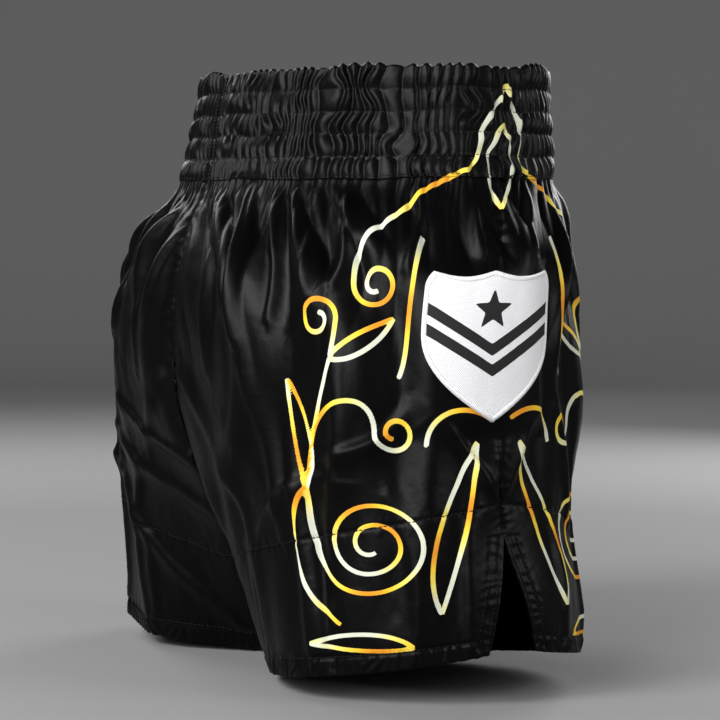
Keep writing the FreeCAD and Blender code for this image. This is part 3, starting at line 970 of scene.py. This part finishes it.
def band_join():
    """The upright seam that closes the waistband at the middle of the back: stitches and a strip behind."""
    rows = [BandRow(z) for z in np.linspace(HEIGHT - 3, BODY_TOP + 1, 120)]
    points = np.stack([row.leaning(row.height + 0.15) for row in rows], 1)
    normals = np.stack([row.outward for row in rows], 1)
    runs = [(points[n], normals[n]) for n in (JOIN_COLUMN - JOIN_STITCHES, JOIN_COLUMN + JOIN_STITCHES)]
    stitches("waistband_join_thread", "waistband_join", runs, pitch=2.5, length=1.8, radius=0.42)
    strip = slice(JOIN_COLUMN - JOIN_HALF, JOIN_COLUMN + JOIN_HALF + 1, 2)
    rows = [BandRow(z) for z in np.linspace(HEIGHT - 4, BODY_TOP + 3, 40)]
    points, faces = thick_sheet(np.stack([row.out(-JOIN_DEPTH)[strip] for row in rows]),
                                np.stack([row.outward[strip] for row in rows]), JOIN_THICK, 1)
    mesh_piece("satin_waistband_join", points, faces, SATIN, ["waistband_join"])


def build_elastic(number):
    """One flat woven elastic, inside its channel. Number 1 is the lowest."""
    row = BandRow(BODY_TOP + (number - 0.5) * CHANNEL, ELASTIC_COLUMNS)
    corners = ((ELASTIC_OUT, 0.5), (ELASTIC_OUT, -0.5), (ELASTIC_IN, -0.5), (ELASTIC_IN, 0.5))
    points = np.stack([row.out(-depth, up * ELASTIC_HEIGHT) for depth, up in corners])
    first = np.arange(ELASTIC_COLUMNS)
    last = first + 3 * ELASTIC_COLUMNS
    closing = np.stack([last, np.roll(last, -1), np.roll(first, -1), first], -1)
    faces = np.concatenate([grid_faces(4, ELASTIC_COLUMNS, 1, wrap=True), closing])
    mesh_piece(f"elastic_{number}", points, faces, ELASTIC, [f"waist_elastic_{number}"], smooth_faces=False)


# ---- Badge ----
BADGE_TOP = BADGE_MIDDLE + BADGE_HEIGHT / 2
BADGE_CREST = 3.5
BORDER_WIDTH = 3.2
BORDER_TURNS = np.linspace(0, math.pi, 10)
BORDER_DOWN, BORDER_ACROSS = 110, 90
BADGE_ROWS, BADGE_COLUMNS = 76, 72
STAR_TURN = math.radians(72)
STAR_OUTER, STAR_INNER, STAR_DOWN = 13.0, 5.4, 23.0
CHEVRON_HALF, CHEVRON_SLOPE, CHEVRONS_DOWN = 3.1, 0.62, (46.0, 58.0)


def badge_place(t, w, edge):
    """Height and distance of a place on the badge: t from 0 at its top to 1 at its point, w from -1 to 1
    across it, drawn in from its outline by edge."""
    full = BADGE_HALF - edge
    low = np.maximum(t - 0.4, 0) / 0.6
    half = np.maximum(0.8, full * (1 - low ** 2.2)) * (1 - 0.10 * np.maximum(0, 1 - t / 0.1) ** 2)
    top = BADGE_TOP - edge - BADGE_CREST * np.abs(np.sin(np.pi * w))
    foot = BADGE_TOP - edge - (BADGE_HEIGHT - 2.2 * edge)
    return top + (foot - top) * t, BADGE_SHIFT + w * half


def badge_ink(z, s):
    """How far inside the badge's black embroidery a place is: a star over two chevrons."""
    x, y = s - BADGE_SHIFT, z - BADGE_TOP
    chevrons = np.maximum(*(CHEVRON_HALF - np.abs(y + down - CHEVRON_SLOPE * np.abs(x)) * 0.85
                            for down in CHEVRONS_DOWN))
    angle = np.arctan2(x, y + STAR_DOWN)
    angle = np.abs((angle + STAR_TURN / 2) % STAR_TURN - STAR_TURN / 2)
    r = np.hypot(x, y + STAR_DOWN)
    run, rise = STAR_INNER * math.cos(STAR_TURN / 2) - STAR_OUTER, STAR_INNER * math.sin(STAR_TURN / 2)
    star = (r * np.sin(angle) * run - (r * np.cos(angle) - STAR_OUTER) * rise) / math.hypot(run, rise)
    return np.maximum(chevrons, star)


def badge_border(cloth, word, side):
    """A round border of satin stitch along the badge's outline."""
    down, across = np.linspace(0, 1, BORDER_DOWN), np.linspace(-1, 1, BORDER_ACROSS)
    t = np.concatenate([np.zeros(BORDER_ACROSS - 1), down[:-1], down[::-1]])
    w = np.concatenate([across[:-1], np.ones(BORDER_DOWN - 1), -np.ones(BORDER_DOWN)])
    places = [badge_place(t, w, 0.1 + BORDER_WIDTH / 2 * (1 - math.cos(a))) for a in BORDER_TURNS]
    rows = []
    for a, (z, s) in zip(BORDER_TURNS, places):
        p, n = cloth.at(side, z, s)
        rows.append(p + n * (0.8 + 1.6 * math.sin(a) ** 0.8))
    grid = np.stack(rows)
    top = len(grid) // 2 - 1
    travel = distance_along(np.stack(places[top], -1))
    sign = outward_sign(grid[top:], n[0])
    mesh_piece(f"{word}_badge_border_stitch", grid, grid_faces(*grid.shape[:2], sign), STITCHED,
               [f"{word}_badge_border"], {"round": np.broadcast_to(travel, grid.shape[:2])})


def build_badge(cloth, word, side):
    t, w = np.meshgrid(np.linspace(0, 1, BADGE_ROWS), np.linspace(-1, 1, BADGE_COLUMNS), indexing="ij")
    middle = BADGE_ROWS // 2
    for layer, edge, out, thick in (("backing", 0.0, 0.95, 0.85), ("face", 2.0, 1.75, 0.75)):
        z, s = badge_place(t, w, edge)
        p, n = cloth.at(side, z, s)
        points, faces = thick_sheet(p + n * out, n, thick, outward_sign(p[middle:, middle:], n[middle, middle]))
        ink = badge_ink(z, s) if layer == "face" else np.full(z.shape, BARE)
        piece = mesh_piece(f"{word}_badge_{layer}_cloth", points, faces, TWILL,
                           [f"{word}_badge_{layer}"], {"ink": np.concatenate([ink.ravel(), ink.ravel()])})
    badge_border(cloth, word, side)


# ---- The pieces of one leg and the seams ----
def leg_distances(at_slit, at_seam):
    """Distances across the back and the front of a leg, between the slit and the seam at two heights."""
    back, front = (np.linspace(slit_edge(at_slit) + 1, seam_reach(at_seam, back) - 1, 700) for _, back in FACES)
    return back, -front


def leg_stitches(cloth, word, side):
    hem = [cloth.at(side, HEM_BAND, s) for s in leg_distances(HEM_BAND, HEM_BAND)]
    lining = [cloth.at(side, lining_top(s), s) for s in leg_distances(100.0, 70.0)]
    z = np.linspace(SLIT_TOP - 1, 1.5, 200)
    slit = [cloth.at(side, z, sense * (slit_edge(z) + inward)) for sense in (1, -1) for inward in SLIT_ROWS]
    for line, runs in (("hem", hem), ("lining", lining), ("slit", slit)):
        stitches(f"{word}_{line}_thread", f"{word}_{line}_stitching", runs)
    bartack = cloth.at(side, SLIT_TOP + 2.8, np.linspace(-6, 6, 40))
    stitches(f"{word}_slit_bartack_thread", f"{word}_slit_bartack", [bartack], pitch=0.62, length=3.4,
             radius=0.36, crosswise=True)


def build_leg(cloth, word, side):
    for face, back in FACES:
        build_panel(cloth, word, side, face, back)
        lining = inner_layer(cloth, f"{word}_{face}_hem_lining", [(side, *lining_patch(back))], LINING_OUT,
                             LAYER_THICK)
        facing = inner_layer(cloth, f"{word}_{face}_slit_facing", [(side, *facing_patch(back))], FACING_OUT,
                             LAYER_THICK)
    inner_layer(cloth, f"{word}_side_seam", [(side, *side_patch())], SIDE_OUT, SEAM_THICK)
    inner_layer(cloth, f"{word}_inseam", [(side, *seam_patch(CROTCH - 1, 2, back)) for _, back in FACES],
                SEAM_OUT, SEAM_THICK)
    leg_stitches(cloth, word, side)
    build_badge(cloth, word, side)


def build_shorts():
    cloth = Cloth()
    for word, side in SIDES:
        build_leg(cloth, word, side)
    for face, back in FACES:
        halves = [(side, *seam_patch(BODY_TOP - 1, CROTCH + 2, back)) for _, side in SIDES]
        inner_layer(cloth, f"centre_{face}_seam", halves, SEAM_OUT, SEAM_THICK)
    build_waistband()
    band_stitching()
    band_join()
    for number in range(1, CHANNELS + 1):
        build_elastic(number)


# ---- Stage, light and camera ----
FLOOR_RADIUS = 3.2
WALL_CURVE = 1.6
WALL_TOP = 5.0
STAGE_SIDES = 96
STAGE_REACH = 6.0
# painted light by distance from the middle: darker under the object, where the lamps light the floor most,
# paler where less light falls, and darker again up the wall
STAGE_PAINTED_LIGHT_TONES = ((0.0, 0.20), (1.0, 0.20), (2.0, 0.34), (2.9, 0.50), (4.6, 0.39), (6.0, 0.27))  # by distance
VIEW_AZIMUTH = math.radians(245)
VIEW_DISTANCE = 1.9
VIEW_HEIGHT = 0.282
AIM_ACROSS = 0.0105
AIM_HEIGHT = 0.1935
LENS, SENSOR = 146.0, 36.0
# name, distances toward the camera, to its right and up, width, power in watts
LIGHTS = (
    ("key", 1.1, -1.5, 1.5, 0.9, 56),
    ("fill", 0.9, 1.9, 0.9, 1.0, 22),
    ("front", 1.5, -0.7, 0.8, 0.8, 27),
    ("rim", -1.4, -1.0, 1.3, 0.9, 22),
    ("back", -1.5, 0.9, 0.9, 0.9, 20),
)
WORLD_COLOUR, WORLD_STRENGTH = (0.72, 0.72, 0.73), 0.07


def stage_material():
    """A pale floor with painted light: paler away from the object, where less light falls on it, and darker
    again up the wall.
    """
    n = Nodes("pale_floor")
    distance = n.add("ShaderNodeVectorMath", ((0, n.place()),), operation="LENGTH").outputs["Value"]
    away = n.math("ADD", distance, n.math("MULTIPLY", n.noise(1.5, 4.0), 0.02))
    tones = [(at / STAGE_REACH, (tone, tone, tone * 1.01)) for at, tone in STAGE_PAINTED_LIGHT_TONES]
    colour = n.ramp(n.math("MULTIPLY", away, 1 / STAGE_REACH), *tones)
    return n.finish(colour, 0.75, Specular_IOR_Level=0.2)


def build_stage():
    """A round floor that turns up into a wall far from the object, the same on every side."""
    profile = [(0.001, 0.0), (1.5, 0.0), (FLOOR_RADIUS, 0.0)]
    for a in np.linspace(0, math.pi / 2, 13)[1:]:
        profile.append((FLOOR_RADIUS + WALL_CURVE * math.sin(a), WALL_CURVE * (1 - math.cos(a))))
    profile.append((FLOOR_RADIUS + WALL_CURVE, WALL_TOP))
    turn = np.arange(STAGE_SIDES) / STAGE_SIDES * 2 * np.pi
    points = [(r * math.cos(a), r * math.sin(a), z) for r, z in profile for a in turn]
    mesh = bpy.data.meshes.new("floor")
    mesh.from_pydata(points, [], grid_faces(len(profile), STAGE_SIDES, -1, wrap=True).tolist())
    mesh.polygons.foreach_set("use_smooth", [True] * len(mesh.polygons))
    mesh.materials.append(stage_material())
    floor = bpy.data.objects.new("floor", mesh)
    bpy.context.scene.collection.objects.link(floor)


def place_object(name, data, place, aim):
    """A light or a camera at a place, turned to face its aim."""
    thing = bpy.data.objects.new(name, data)
    thing.location = place
    thing.rotation_euler = (aim - place).to_track_quat("-Z", "Y").to_euler()
    bpy.context.scene.collection.objects.link(thing)
    return thing


def build_view():
    scene = bpy.context.scene
    toward = Vector((math.sin(VIEW_AZIMUTH), -math.cos(VIEW_AZIMUTH), 0))
    right = Vector((-toward.y, toward.x, 0))
    up = Vector((0, 0, 1))
    camera = bpy.data.cameras.new("camera")
    camera.lens, camera.sensor_width = LENS, SENSOR
    scene.camera = place_object("camera", camera, toward * VIEW_DISTANCE + up * VIEW_HEIGHT,
                                right * AIM_ACROSS + up * AIM_HEIGHT)
    for name, near, across, high, size, power in LIGHTS:
        light = bpy.data.lights.new(name, "AREA")
        light.shape = "RECTANGLE"
        light.size = light.size_y = size
        light.energy = power
        place_object(name, light, toward * near + right * across + up * high, up * 0.2)
    world = bpy.data.worlds.new("studio")
    world.use_nodes = True
    background = world.node_tree.nodes["Background"]
    background.inputs["Color"].default_value = (*WORLD_COLOUR, 1)
    background.inputs["Strength"].default_value = WORLD_STRENGTH
    scene.world = world
    scene.view_settings.view_transform = "Standard"


build_shorts()
build_stage()
build_view()
